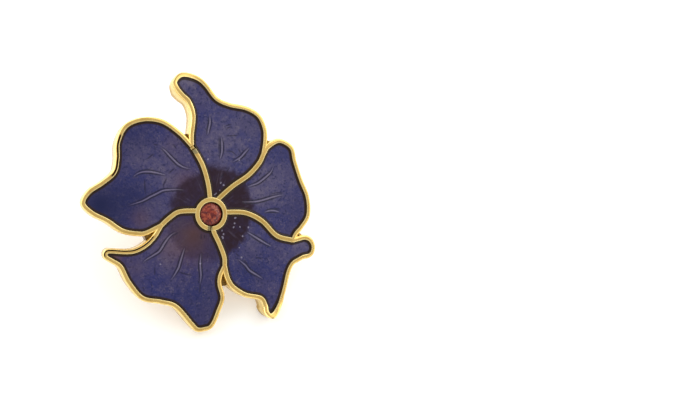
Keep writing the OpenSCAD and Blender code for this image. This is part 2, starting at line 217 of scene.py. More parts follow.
# Height over the dome of the back: -thickness, or the plane of a bevel where that is higher.
# The plane through F with normal n is met by the ray u at the distance F.n / u.n.
def backHeight(x, y):
    height = np.full_like(x, -flower["thickness"])
    ray = (onDome(x, y, np.zeros_like(x)) - domeCentre) / flower["domeRadius"]
    for footX, footY, degrees, slope in flower["bevels"]:
        turn, lean = np.radians(degrees), np.radians(slope)
        plane = np.array([-np.sin(lean) * np.cos(turn), -np.sin(lean) * np.sin(turn), np.cos(lean)])
        foot = np.array([footX, footY, flower["domeRadius"]])
        foot *= (flower["domeRadius"] - flower["thickness"]) / np.linalg.norm(foot)
        bevel = foot @ plane / (ray @ plane) - flower["domeRadius"]
        along, across = alongAcross(x, y, footX, footY, degrees)
        inside = (np.abs(across) < flower["bevelWidth"] / 2) & (along > -flower["bevelLead"])
        height = np.where(inside, np.maximum(height, bevel), height)
    return height


# Dip of a wire's top in the small gaps: depth times a window along the wire and one across it.
def notchDip(x, y):
    dip, fade = np.zeros_like(x), flower["notchFade"]
    for footX, footY, degrees in flower["notches"]:
        along, across = alongAcross(x, y, footX, footY, degrees)
        dip += flower["notchDepth"] * smoothStep((flower["notchWidth"] + fade) / 2 - np.abs(across), 0, fade) \
            * smoothStep(flower["wireWidth"] - np.abs(along), 0, fade)
    return dip


# Smooth curve through the points: for each span,
# (2b + (c - a)t + (2a - 5b + 4c - d)t^2 + (3b - a - 3c + d)t^3) / 2.
def smoothPath(points, perSpan=12):
    p = np.array(points, float)
    p = np.vstack([2 * p[:1] - p[1:2], p, 2 * p[-1:] - p[-2:-1]])
    a, b, c, d = p[:-3, None], p[1:-2, None], p[2:-1, None], p[3:, None]
    t = (np.arange(perSpan) / perSpan)[:, None]
    spans = (2 * b + (c - a) * t + (2 * a - 5 * b + 4 * c - d) * t ** 2 + (3 * b - a - 3 * c + d) * t ** 3) / 2
    return np.vstack([spans.reshape(-1, 2), p[-2]])


# Length of a path up to each of its points: the sum of the steps before it.
def arcLength(path):
    return np.concatenate([[0], np.cumsum(np.linalg.norm(np.diff(path, axis=0), axis=1))])


# Points at given distances along a path, straight between its own points.
def pointsAt(path, distances):
    arc = arcLength(path)
    return np.stack([np.interp(distances, arc, path[:, k]) for k in range(path.shape[1])], -1)


# Path of the same shape whose points lie evenly, a little less than a step apart.
def evenly(path, step):
    length = arcLength(path)[-1]
    return pointsAt(path, np.linspace(0, length, int(length / step) + 2))


# Path moved to its left by a distance: the tangent turned a quarter, from differences of neighbours.
def toLeft(path, distance):
    tangent = np.gradient(path, axis=0)
    tangent /= np.linalg.norm(tangent, axis=1, keepdims=True)
    return path + np.stack([-tangent[:, 1], tangent[:, 0]], 1) * distance


# Least distance of each point to the samples of a path, and the share of the path where it is met.
def distanceTo(points, path):
    flat = points.reshape(-1, 2).astype(np.float32)
    gaps = np.hypot(flat[:, None, 0] - path[None, :, 0].astype(np.float32),
                    flat[:, None, 1] - path[None, :, 1].astype(np.float32))
    nearest = gaps.argmin(1)
    return gaps.min(1).reshape(points.shape[:-1]), (nearest / (len(path) - 1)).reshape(points.shape[:-1])


# Inner edge of a petal's cell, clockwise from the ring to the ring: the wires' middle line moved inwards,
# without the points that fall nearer to a wire than that, and cut where it meets the ring.
def cellOutline(petal, inset, ringRadius):
    before, after = petal["between"]
    middle = evenly(np.vstack([smoothPath(partitions[before]), smoothPath(petal["rim"])[1:],
                               smoothPath(partitions[after])[::-1][1:]]), sampling["outline"])
    moved = toLeft(middle, -inset)
    clear = (distanceTo(moved, middle)[0] > inset * 0.985) & (np.linalg.norm(moved, axis=1) > ringRadius)
    outline = moved[clear]
    outline[[0, -1]] *= ringRadius / np.linalg.norm(outline[[0, -1]], axis=1, keepdims=True)
    return outline


# Grid evened out: each inner point goes to (a(above + below) + c(left + right) - 2b cross) / 2(a + c), over and
# over, where a = |Pv|^2, b = Pu.Pv, c = |Pu|^2 and cross = Puv, from differences of neighbours. Its lines don't
# cross.
def evenedGrid(grid, rounds=600):
    for _ in range(rounds):
        alongU, alongV = (grid[2:, 1:-1] - grid[:-2, 1:-1]) / 2, (grid[1:-1, 2:] - grid[1:-1, :-2]) / 2
        cross = (grid[2:, 2:] - grid[2:, :-2] - grid[:-2, 2:] + grid[:-2, :-2]) / 4
        a, b, c = [(first * second).sum(-1, keepdims=True)
                   for first, second in ((alongV, alongV), (alongU, alongV), (alongU, alongU))]
        sums = a * (grid[2:, 1:-1] + grid[:-2, 1:-1]) + c * (grid[1:-1, 2:] + grid[1:-1, :-2]) - 2 * b * cross
        grid[1:-1, 1:-1] = sums / (2 * (a + c) + 1e-9)
    return grid


# Values of a grid at shares u down and v across it, straight between its points.
def gridAt(grid, u, v):
    row, column = u * (len(grid) - 1), v * (grid.shape[1] - 1)
    i = np.minimum(row.astype(int), len(grid) - 2)
    j = np.minimum(column.astype(int), grid.shape[1] - 2)
    down, across = (row - i)[:, None, None], (column - j)[None, :, None]
    rows = grid[i] * (1 - down) + grid[i + 1] * down
    return rows[:, j] * (1 - across) + rows[:, j + 1] * across


# Shares from 0 to 1 that crowd to both ends: 0.35t + 0.65(1 - cos(pi t)) / 2.
def crowded(count):
    t = np.linspace(0, 1, count)
    return 0.35 * t + 0.65 * (1 - np.cos(np.pi * t)) / 2


# Grid over the area of an outline that starts and ends at the ring. Two corners cut the outline into the left
# side, the far end and the right side, and the near end is an arc of the ring, or a point. The coarse grid is the
# sum of the two surfaces ruled between facing sides, less the one between the four corners. The fine grid is read
# from it at crowded shares, and in its outermost cells it is drawn to the outline itself.
def petalGrid(outline, corners, rows, columns, arcRadius=0.0):
    arc = arcLength(outline)
    first, second = arc[np.hypot(*(outline[:, None] - np.array(corners)[None]).T).argmin(1)]
    start, end = np.arctan2(outline[[0, -1], 1], outline[[0, -1], 0])

    # Near, far, left and right side.
    def sides(u, v):
        angle = start - (start - end) % (2 * np.pi) * v
        near = arcRadius * np.stack([np.cos(angle), np.sin(angle)], 1)
        return (near, pointsAt(outline, first + (second - first) * v), pointsAt(outline, first * u),
                pointsAt(outline, arc[-1] + (second - arc[-1]) * u))

    coarseRows, coarseColumns = 48, 32
    u, v = np.linspace(0, 1, coarseRows), np.linspace(0, 1, coarseColumns)
    near, far, left, right = sides(u, v)
    down, across = u[:, None, None], v[None, :, None]
    coarse = left[:, None] * (1 - across) + right[:, None] * across + near * (1 - down) + far * down \
        - (near[0] * (1 - across) + near[-1] * across) * (1 - down) \
        - (far[0] * (1 - across) + far[-1] * across) * down
    u, v = crowded(rows), crowded(columns)
    fine = gridAt(evenedGrid(coarse), u, v)
    near, far, left, right = sides(u, v)
    fromNear, fromFar = [np.clip(1 - (coarseRows - 1) * t, 0, 1)[:, None, None] for t in (u, 1 - u)]
    fromLeft, fromRight = [np.clip(1 - (coarseColumns - 1) * t, 0, 1)[None, :, None] for t in (v, 1 - v)]
    fine = fine + (near - fine[0]) * fromNear + (far - fine[-1]) * fromFar
    return fine + (left - fine[:, 0])[:, None] * fromLeft + (right - fine[:, -1])[:, None] * fromRight


# Faces of a grid, four neighbouring points each, whose points are counted on from start.
def gridFaces(rows, columns, start=0, aroundColumns=False, aroundRows=False):
    index = start + np.arange(rows * columns).reshape(rows, columns)
    if aroundColumns:
        index = np.hstack([index, index[:, :1]])
    if aroundRows:
        index = np.vstack([index, index[:1]])
    corners = [index[:-1, :-1], index[1:, :-1], index[1:, 1:], index[:-1, 1:]]
    return np.stack(corners, -1).reshape(-1, 4).tolist()


# New object in the scene, at the origin.
def addObject(name, data):
    made = bpy.data.objects.new(name, data)
    bpy.context.scene.collection.objects.link(made)
    return made


# Finished piece: doubles merged, faces turned outwards, smooth but for edges sharper than the angle. Its values
# become attributes of its points.
def makePiece(name, points, faces, material, nodeName, values, smoothTo=40):
    mesh = bpy.data.meshes.new(name)
    mesh.from_pydata(toScene(points.reshape(-1, 3)), [], faces)
    for label, value in values.items():
        mesh.attributes.new(label, "FLOAT", "POINT").data.foreach_set("value", value.ravel().astype(np.float32))
    work = bmesh.new()
    work.from_mesh(mesh)
    bmesh.ops.remove_doubles(work, verts=work.verts, dist=2e-7)
    bmesh.ops.recalc_face_normals(work, faces=work.faces)
    work.to_mesh(mesh)
    work.free()
    mesh.shade_smooth()
    mesh.set_sharp_from_angle(angle=np.radians(smoothTo))
    mesh.materials.append(material)
    piece = addObject(name, mesh)
    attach(piece, "root")
    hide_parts(nodeName)


# Point numbers around a grid's border.
def gridBorder(rows, columns):
    index = np.arange(rows * columns).reshape(rows, columns)
    return np.concatenate([index[:-1, 0], index[-1, :-1], index[:0:-1, -1], index[0, :0:-1]])


# Faces of the wall between two borders: each point and the next one, above and below.
def wallFaces(upper, lower):
    return np.stack([upper, np.roll(upper, -1), np.roll(lower, -1), lower], 1).tolist()


# Closed shell of two grids at two heights over the dome, with walls along their four borders.
def shell(x, y, high, low):
    count, border = x.size, gridBorder(*x.shape)
    faces = gridFaces(*x.shape) + gridFaces(*x.shape, count) + wallFaces(border, border + count)
    return np.concatenate([onDome(x, y, height).reshape(-1, 3) for height in (high, low)]), faces


# Closed slab: a grid at a height over the dome, walls down from its border, and one face below, which is hidden.
def slab(x, y, high, low):
    border = gridBorder(*x.shape)
    lower = x.size + np.arange(len(border))
    points = [onDome(x, y, high).reshape(-1, 3), onDome(x, y, low).reshape(-1, 3)[border]]
    return np.concatenate(points), gridFaces(*x.shape) + wallFaces(border, lower) + [lower.tolist()]


# Quarter circle from one direction to the next, as offsets from its centre.
def quarter(radius, startDegrees, steps=5):
    angle = np.radians(startDegrees + np.linspace(0, 90, steps))
    return radius * np.stack([np.cos(angle), np.sin(angle)], 1)


# Part of a profile: distances outwards and rises, all at one level (0 at the back, 1 at the front).
def atLevel(level, offsets):
    offsets = np.array(offsets, float)
    return np.column_stack([offsets[:, 0], np.full(len(offsets), level), offsets[:, 1]])


# Profile's points at plan places: (1 - level) times the back's height, level times the front's, and the rise.
def profileAt(x, y, profile):
    level, rise = profile[:, 1], profile[:, 2]
    return onDome(x, y, backHeight(x, y) * (1 - level) + (frontHeight(x, y) - notchDip(x, y)) * level + rise)


# Closed profile carried along a plan path, with both ends capped: the path plus the profile's distances times the
# path's own direction to its left.
def sweep(path, profile):
    out = toLeft(path, 1.0) - path
    plan = path[:, None] + out[:, None] * profile[None, :, :1]
    x, y = plan[..., 0], plan[..., 1]
    rows, columns = x.shape
    caps = [list(range(columns)), list(range((rows - 1) * columns, rows * columns))]
    return profileAt(x, y, profile), gridFaces(rows, columns, aroundColumns=True) + caps


# Plan places of radii turned about a centre: x = cx + r cos a, y = cy + r sin a. And the faces between them.
def turned(centre, radii, steps):
    angle = np.linspace(0, 2 * np.pi, steps, endpoint=False)[:, None]
    return (centre[0] + np.cos(angle) * radii, centre[1] + np.sin(angle) * radii,
            gridFaces(steps, len(radii), aroundRows=True))


# Profile turned about an upright line on the dome.
def turnedOnDome(centre, profile, steps):
    x, y, faces = turned(centre, profile[:, 0], steps)
    return profileAt(x, y, profile), faces


# Radii and heights turned about the post's line along z.
def turnedOnPost(radii, heights, steps):
    x, y, faces = turned(flower["mountPoint"], np.array(radii), steps)
    return np.stack([x, y, np.zeros_like(x) + heights], -1), faces


# A socket whose sums, differences and products add Math nodes.
class Signal:
    def __init__(self, finish, socket):
        self.finish, self.socket = finish, socket

    def math(self, operation, first, second):
        return self.finish.add("ShaderNodeMath", {"operation": operation}, {0: first, 1: second})

    def __add__(self, other):
        return self.math("ADD", self, other)

    def __sub__(self, other):
        return self.math("SUBTRACT", self, other)

    def __rsub__(self, other):
        return self.math("SUBTRACT", other, self)

    def __mul__(self, other):
        return self.math("MULTIPLY", self, other)

    __radd__, __rmul__ = __add__, __mul__

    # How far two values lie apart.
    def apart(self, other):
        return self.math("ABSOLUTE", self - other, 0.0)


# The node tree of a material, or of the room's light. add() makes any node: its settings first, then the values
# or links of its sockets.
class Finish:
    def __init__(self, name, owner=None):
        self.owner = owner or bpy.data.materials.new(name)
        self.owner.use_nodes = True
        self.tree = self.owner.node_tree
        self.tree.nodes.clear()

    def add(self, kind, settings, sockets, output=0):
        node = self.tree.nodes.new(kind)
        for key, value in settings.items():
            setattr(node, key, value)
        for key, value in sockets.items():
            if isinstance(value, Signal):
                self.tree.links.new(value.socket, node.inputs[key])
            elif node.inputs[key].type == "RGBA":
                node.inputs[key].default_value = (*value, 1.0)
            else:
                node.inputs[key].default_value = value
        return Signal(self, node.outputs[output]) if len(node.outputs) else None

    def attribute(self, label):
        return self.add("ShaderNodeAttribute", {"attribute_name": label}, {}, output=2)

    def vectorMath(self, operation, sockets, output=0):
        return self.add("ShaderNodeVectorMath", {"operation": operation}, sockets, output)

    # Object coordinates in millimetres.
    def place(self):
        metres = self.add("ShaderNodeTexCoord", {}, {}, output=3)
        return self.vectorMath("SCALE", {0: metres, 3: 1000.0})

    def noise(self, scale, detail, roughness, place):
        return self.add("ShaderNodeTexNoise", {},
                        {"Vector": place, "Scale": scale, "Detail": detail, "Roughness": roughness})

    def step(self, value, low, high):
        return self.add("ShaderNodeMapRange", {"interpolation_type": "SMOOTHSTEP"},
                        {0: value, 1: low, 2: high, 3: 0.0, 4: 1.0})

    def mix(self, share, first, second):
        return self.add("ShaderNodeMix", {"data_type": "RGBA"}, {0: share, 6: first, 7: second}, output=2)

    # Colours of the settings laid over the first one in turn, each by its share.
    def layered(self, colour, settings, layers):
        for share, shade in layers:
            colour = self.mix(share, colour, settings[shade])
        return colour

    def bump(self, height, strength, distance):
        return self.add("ShaderNodeBump", {}, {"Strength": strength, "Distance": distance, "Height": height})

    def surface(self, **sockets):
        named = {key.replace("_", " "): value for key, value in sockets.items()}
        shader = self.add("ShaderNodeBsdfPrincipled", {}, named)
        self.add("ShaderNodeOutputMaterial", {}, {"Surface": shader})
        return self.owner


# Colour from 0-255 screen values to linear light: ((s + 0.055) / 1.055)^2.4, or s / 12.92 where it is darkest.
def screen(red, green, blue):
    value = np.array([red, green, blue]) / 255
    return tuple(float(v) for v in np.where(value > 0.04045, ((value + 0.055) / 1.055) ** 2.4, value / 12.92))


goldSettings = {
    "bright": screen(226, 190, 112),
    "deep": screen(204, 162, 86),
    "edgeHighlight": screen(255, 240, 176),  # painted highlight along the rounded edges of the wires
    "wall": screen(184, 150, 74),  # darker gilding: painted shade on the walls, the back and some partitions, and the post's own darker tone
    "recessShade": screen(92, 62, 34),  # painted shade deep under the rim tops
    "patina": screen(128, 126, 100),
    # painted shade in dark pits and gaps, and along the wires' edges beside the enamel
    "brownShade": screen(70, 36, 12),
    # painted shade: dark lines along some rims
    "lineShade": screen(44, 20, 8),
    "edge": 0.25,  # from a wire's middle to the painted shade along its edge
    "highlightBand": (0.12, 0.21),  # from a wire's middle, where the painted edge highlight begins and is full
    "roughness": (0.22, 0.32),
    "grain": 0.012,
}


# Polished gilding with faint satin patches and pits. The flower's own has painted shade on its walls, its back and
# some partitions, and a painted highlight along the rounded edges of the wires. It also has painted shade deep under
# the rim tops in the webs, in dark pits and gaps, in a brown line beside the enamel and in dark lines along some rims,
# and grey patina in places.
def makeGold(name, worn):
    gold = Finish(name)
    place = gold.place()
    patches = gold.noise(0.9, 4.0, 0.55, place)
    fine = gold.noise(9.0, 3.0, 0.55, place)
    light, dark = ("bright", "deep") if worn else ("deep", "wall")
    colour = gold.mix(gold.step(patches, 0.4, 0.8), goldSettings[light], goldSettings[dark])
    if worn:
        wall, across = gold.attribute("wall"), gold.attribute("across")
        # Share of the painted shade on the walls, the back and some partitions.
        wallShade = wall * (0.8 + 0.2 * gold.step(patches, 0.3, 0.7))
        # Share of the painted highlight along the wires' rounded edges.
        highlightBand = gold.step(across.apart(0.0), *goldSettings["highlightBand"]) * (1.0 - gold.step(wall, 0.5, 0.7))
        spread = 0.55 + gold.step(fine, 0.3, 0.7) * 0.45
        brownFrom = goldSettings["edge"]
        beside = across.apart(gold.attribute("lineShadeAcross")) - gold.attribute("lineShadeHalf")
        colour = gold.layered(colour, goldSettings, [
            # painted shade on the walls, the back and some partitions
            (wallShade, "wall"),
            # painted highlight on the wires' rounded edges
            (highlightBand * (0.3 + 0.4 * gold.step(fine, 0.35, 0.65)), "edgeHighlight"),
            # painted shade deep in the recessed webs
            (gold.step(gold.attribute("depth"), 0.35, 0.8) * spread, "recessShade"),
            (gold.step(gold.attribute("patina"), 0.2, 0.6) * spread, "patina"),
            # painted shade in dark pits and gaps and on the top tab's wall
            (gold.step(gold.attribute("spotShade") + (fine - 0.5) * 0.5, 0.35, 0.6), "brownShade"),
            # painted shade along the wires' edges beside the enamel
            (gold.step(gold.attribute("inward"), brownFrom - 0.02, brownFrom + 0.03) * 0.9, "brownShade"),
            # painted shade in dark lines along some rims
            (gold.attribute("lineShade") * (1.0 - gold.step(beside, -0.02, 0.02)), "lineShade")])
    low, high = goldSettings["roughness"]
    rough = low + (high - low) * gold.step(patches * 0.6 + fine * 0.4, 0.3, 0.7)
    return gold.surface(Base_Color=colour, Metallic=1.0, Roughness=rough,
                        Normal=gold.bump(fine, goldSettings["grain"], 0.0001))


enamelSettings = {
    "depth": 0.16,  # surface under the rim tops
    "bottom": 1.05,
    "gap": 0.04,  # to the metal
    "rows": 270,
    "columns": 250,
    "veinHeight": 0.07,
    "veinWidth": 0.17,
    "creaseWidth": 0.08,
    "thinning": (0.6, 0.5),  # of veins and creases to their ends: the lower, the blunter
    "beside": (2.2, 1.1),  # grooves beside a vein: their middle and spread, in the vein's half widths
    "grooveDepth": 0.028,  # of the creases and the lines beside the veins
    "meniscus": 0.05,  # rise to the wires
    "meniscusWidth": 0.12,
    "indigo": screen(34, 37, 92),
    "violet": screen(52, 48, 90),
    "mauve": screen(92, 84, 106),
    "navy": screen(12, 18, 62),
    "plum": screen(30, 4, 24),
    "crease": screen(14, 8, 36),
    "brown": screen(90, 60, 58),
    # painted shade: the dark brown line along the wires
    "border": screen(34, 14, 2),
    "edgeShadeWidth": 0.24,
    "vein": screen(122, 112, 136),
    "speck": screen(146, 140, 160),
    "speckRadius": 0.13,
    "roughness": 0.34,
    "smoothTo": 50,  # degrees
}


# Translucent enamel: violet blue with cloudy mauve (partly a painted highlight on the top petal's turned-up tab), pale
# flecks and dark pits, a plum disc with pale streaks round the ring, dark creases, pale veins and specks, and painted
# shade as a dark brown line along the wires.
def makeEnamel():
    enamel = Finish("enamelGlass")
    place = enamel.place()
    clouds = enamel.noise(0.3, 4.0, 0.6, place)
    mottle = enamel.noise(1.3, 4.0, 0.65, place)
    speckle = enamel.noise(5.0, 3.0, 0.7, place)
    grain = enamel.noise(3.2, 3.0, 0.6, place)
    fromDisc = enamel.attribute("disc")
    polar = enamel.add("ShaderNodeCombineXYZ", {}, {0: enamel.attribute("turn") * 16.0, 1: fromDisc * 0.35})
    rays = enamel.noise(1.0, 3.0, 0.6, polar)
    cloudy = 0.3 + 0.5 * enamel.step(clouds, 0.35, 0.65) + 0.7 * enamel.step(mottle, 0.4, 0.7)
    flecks = enamel.step(speckle + (rays - 0.5) * 0.5, 0.4, 0.75) * (0.3 + enamel.step(mottle, 0.4, 0.7))
    disc = fromDisc + (mottle - 0.5) * 1.8 + (clouds - 0.5) * 1.6
    plum = (1.0 - enamel.step(disc, -0.6, 0.4)) * enamel.attribute("depthOfDisc")
    fromSpeck = enamel.attribute("speckGap") + (speckle - 0.5) * 0.3
    fromWire = enamel.attribute("edge") + (speckle - 0.5) * 0.08
    size, wide = enamelSettings["speckRadius"], enamelSettings["edgeShadeWidth"]
    colour = enamel.mix(enamel.step(clouds, 0.36, 0.62), enamelSettings["indigo"], enamelSettings["violet"])
    colour = enamel.layered(colour, enamelSettings, [
        # mauve clouds, on the top tab a painted highlight
        (enamel.attribute("cloudAndSheen") * cloudy, "mauve"),
        (flecks * 0.8, "mauve"),
        ((1.0 - enamel.step(grain, 0.3, 0.5)) * 0.7, "navy"),
        (enamel.attribute("dark"), "navy"),
        (enamel.attribute("warm"), "brown"),
        (plum * (0.8 + 0.25 * enamel.step(mottle, 0.3, 0.6)), "plum"),
        (enamel.step(rays, 0.56, 0.72) * plum * 0.26, "mauve"),
        (enamel.attribute("groove") * 0.95, "crease"),
        (enamel.step(enamel.attribute("ridge"), 0.15, 0.85) * 0.55, "vein"),
        ((1.0 - enamel.step(fromSpeck, size * 0.5, size)) * 0.6, "speck"),
        # painted shade along the wires
        (1.0 - enamel.step(fromWire, wide - 0.07, wide + 0.07), "border")])
    ripple = enamel.bump(enamel.noise(1.1, 2.0, 0.5, place), 0.12, 0.0002)
    return enamel.surface(Base_Color=colour, Roughness=enamelSettings["roughness"], Normal=ripple,
                          Coat_Weight=0.08, Coat_Roughness=0.2, Specular_IOR_Level=0.24)


stoneSettings = {
    "red": screen(128, 46, 32),
    # painted glints of the foil: copper and pink
    "copperGlint": screen(170, 90, 60),
    "pinkGlint": screen(190, 114, 84),
    "dark": screen(84, 22, 24),
    # painted shade round the stone's edge
    "rim": screen(80, 32, 20),
    "edgeShadeAt": (1.2, 1.3),  # from the stone's axis, where the painted shade round its edge begins and is full
    "cells": 4.6,  # foil cells along a millimetre
    "roughness": 0.34,
}


# Red stone over crumpled foil: small cells of red and dark red, painted copper and pink glints, and painted shade
# round its edge.
def makeStone():
    stone = Finish("redStone")
    place = stone.place()
    cells = stone.add("ShaderNodeTexVoronoi", {}, {"Vector": place, "Scale": stoneSettings["cells"]}, output=1)
    shade = stone.add("ShaderNodeSeparateColor", {}, {"Color": cells})
    foil = stone.noise(1.6, 3.0, 0.6, place)
    glint = stone.noise(8.0, 3.0, 0.7, place)
    middle = flowerOrigin + flowerAxes[2] * flower["thickness"]
    fromMiddle = stone.vectorMath("SUBTRACT", {0: place, 1: tuple(middle)})
    fromAxis = stone.vectorMath("CROSS_PRODUCT", {0: fromMiddle, 1: tuple(flowerAxes[2])})
    radius = stone.vectorMath("LENGTH", {0: fromAxis}, output=1)
    colour = stone.mix(stone.step(foil + (shade - 0.5) * 0.3, 0.38, 0.6), stoneSettings["dark"], stoneSettings["red"])
    colour = stone.layered(colour, stoneSettings, [
        # painted glints
        (stone.step(shade + (glint - 0.5), 0.62, 0.95) * 0.6, "copperGlint"),
        (stone.step(glint, 0.6, 0.7) * 0.8, "pinkGlint"),
        # painted shade round the stone's edge
        (stone.step(radius, *stoneSettings["edgeShadeAt"]), "rim")])
    return stone.surface(Base_Color=colour, Roughness=stoneSettings["roughness"], Coat_Weight=0.1,
                         Coat_Roughness=0.2, Specular_IOR_Level=0.25, Normal=stone.bump(shade, 0.15, 0.0001))


gold = makeGold("gilding", True)
plainGold = makeGold("postGilding", False)
enamelGlass = makeEnamel()
redStone = makeStone()
print("materials made")


# Sum of round spots: strength times exp(-(distance / radius)^2).
def spotField(x, y, spots):
    return sum((strength * np.exp(-((x - sx) ** 2 + (y - sy) ** 2) / radius ** 2)
                for sx, sy, radius, strength in spots), np.zeros_like(x))


# Columns of the painted shade spots and patina: x, y, radius, strength. Columns of the painted dark lines of shade
# along a rim, by petal: first and last point's x, y, distance outwards from the wire's middle, and half width.
wear = {
    # painted shade in two webs' pits and in the gap where a wire ends
    "shadeSpots": [(7.35, 8.5, 0.14, 1.0), (11.27, -2.5, 0.14, 1.0), (-2.2, 7.85, 0.2, 0.9)],
    # painted shade on the top tab's wall
    "wallShadeSpots": [(-3.1, 13.8, 0.4, 0.6), (-4.0, 14.6, 0.2, 0.6)],
    "patina": [(-1.85, 7.4, 0.45, 1.0), (-0.16, -1.65, 0.42, 0.9)],
    "wallFrom": (0.3, 0.55),  # under the rim tops, where the painted shade of the walls begins and is full
    "wallShade": {"topLeft": 0.1, "topRight": 0.45, "right": 0.45, "bottom": 0.1, "left": 0.3},  # painted shade, on partitions
    # painted shade in dark lines along the rims
    "shadeLines": {"lower_left": ((-12.75, -4.95), (-6.9, -2.6), 0.09, 0.08),
              "left": ((-12.0, 4.5), (-10.85, 9.4), -0.05, 0.11)},
    "lineShadeFade": 0.15,
}


# Piece of the flower's metal, with its depth under the rim tops (for the painted shade in the webs' recesses), its
# painted shade spots and its patina.
def addMetal(name, built, recessed=False, **more):
    points, faces = built
    shape = points.reshape(-1, 3)
    x, y = shape[:, 0], shape[:, 1]
    depth = np.clip(flower["domeRadius"] - np.linalg.norm(shape - domeCentre, axis=1), 0, 5)
    wall = smoothStep(depth, *wear["wallFrom"])
    # Painted shade spots; those on the tab's wall count only on the walls.
    spotShade = spotField(x, y, wear["shadeSpots"]) + wall * spotField(x, y, wear["wallShadeSpots"])
    values = {"depth": depth * recessed, "wall": wall, "spotShade": spotShade, "patina": spotField(x, y, wear["patina"])}
    makePiece(name, shape, faces, gold, "gilt_body", {**values, **more})


# Distance outwards of each point of a rim, its distance inwards, and where a painted dark line of shade runs along it:
# 1 between the line's two ends, fading at both.
def rimValues(path, across, petalName):
    values = {"across": across, "inward": -across}
    if petalName in wear["shadeLines"]:
        first, last, outwards, halfWidth = wear["shadeLines"][petalName]
        arc, fade = arcLength(path), wear["lineShadeFade"]
        start, end = [arc[np.hypot(*(path - point).T).argmin()] for point in (first, last)]
        along = smoothStep(arc, start - fade, start + fade) * smoothStep(-arc, -end - fade, -end + fade)
        values["lineShade"] = along[:, None] + across * 0
        values["lineShadeAcross"] = np.full_like(across, outwards)
        values["lineShadeHalf"] = np.full_like(across, halfWidth)
    return values


# Distance outwards of each point of a profile that is carried or turned in so many steps.
def acrossValues(profile, steps):
    return np.zeros((steps, 1)) + profile[None, :, 0]


wireSettings = {
    "innerRound": 0.1,
    "outerRound": 0.26,
    "backRound": 0.14,
    "crown": 0.02,  # rise of a rim's middle over its edges
    "partitionRound": 0.08,
    "partitionCrown": 0.012,
    "foot": -1.25,  # under the rim tops, in the back's plate
    "backInset": (0.02, 0.03),  # the inner wall's end on the back: outwards and up
    "intoRing": 0.85,  # a partition starts at this share of its first point
}


# Wire's cross-section, closed, from its rounded inner edge over the crown, crown times 1 - (distance / half)^2, to
# its outer edge and down. Columns: distance outwards, level (0 at the back, 1 at the front) and rise from that.
def wireProfile(half, innerRound, outerRound, crown, backRound=None):
    inner = quarter(innerRound, 90)[::-1] + (-half + innerRound, -innerRound)
    outer = quarter(outerRound, 0)[::-1] + (half - outerRound, -outerRound)
    top = np.vstack([inner, outer])
    top[:, 1] += crown * (1 - (top[:, 0] / half) ** 2)
    foot = wireSettings["foot"]
    if backRound is None:
        return np.vstack([atLevel(1, top), atLevel(1, [(half, foot), (-half, foot)])])
    corner = quarter(backRound, -90)[::-1] + (half - backRound, backRound)
    inset, rise = wireSettings["backInset"]
    return np.vstack([atLevel(1, top), atLevel(0, corner), atLevel(0, [(inset - half, rise)]),
                      atLevel(1, [(-half, foot)])])


half = flower["wireWidth"] / 2
rimProfile = wireProfile(half, wireSettings["innerRound"], wireSettings["outerRound"], wireSettings["crown"],
                         wireSettings["backRound"])
partitionProfile = wireProfile(half, wireSettings["partitionRound"], wireSettings["partitionRound"],
                               wireSettings["partitionCrown"])
partitionProfile[:, 2] -= wireSettings["partitionCrown"]
for petalName, petal in petals.items():
    path = evenly(smoothPath(petal["rim"]), sampling["wire"])
    across = acrossValues(rimProfile, len(path))
    addMetal("rim_" + petalName, sweep(path, rimProfile), **rimValues(path, across, petalName))
for wireName, wire in partitions.items():
    start = np.array(wire[0]) * wireSettings["intoRing"]
    path = evenly(smoothPath([tuple(start)] + wire), sampling["wire"])
    across = acrossValues(partitionProfile, len(path))
    # Each partition gets its own share of painted shade.
    addMetal("partition_" + wireName, sweep(path, partitionProfile), across=across, inward=np.abs(across),
             wall=np.full_like(across, wear["wallShade"][wireName]))
print("rims and partitions made")

# Round knot where a partition meets two rims, from a bevel on the back to its rounded top.
knotSettings = {"inset": 0.04, "round": 0.12, "bevel": (0.1, 0.11), "low": 0.03, "rise": 0.012, "middle": 0.018,
                "steps": 32}
knotRadius, bend = half - knotSettings["inset"], knotSettings["round"]
bevelIn, bevelUp = knotSettings["bevel"]
low = knotSettings["low"]
knotProfile = np.vstack([
    atLevel(0, [(0, low), (knotRadius - bevelIn, low), (knotRadius, low + bevelUp)]),
    atLevel(1, quarter(bend, 0) + (knotRadius - bend, knotSettings["rise"] - bend)),
    atLevel(1, [(0, knotSettings["middle"])])])
for wireName, wire in partitions.items():
    addMetal("knot_" + wireName, turnedOnDome(wire[-1], knotProfile, knotSettings["steps"]))

# Ring round the stone, with the stone's seat as a floor inside it.
ringSettings = {"outer": 2.0, "inner": 1.4, "seat": -1.2, "foot": -1.3, "round": 0.09, "rise": 0.004, "steps": 160}
outer, inner, bend = ringSettings["outer"], ringSettings["inner"], ringSettings["round"]
ringProfile = np.vstack([
    atLevel(1, [(0, ringSettings["foot"]), (outer, ringSettings["foot"])]),
    atLevel(1, quarter(bend, 0) + (outer - bend, ringSettings["rise"] - bend)),
    atLevel(1, quarter(bend, 90) + (inner + bend, ringSettings["rise"] - bend)),
    atLevel(1, [(inner, ringSettings["seat"]), (0, ringSettings["seat"])])])
across = acrossValues(ringProfile, ringSettings["steps"]) - (outer + inner) / 2
addMetal("centre_ring", turnedOnDome((0, 0), ringProfile, ringSettings["steps"]), across=across,
         inward=np.abs(across))

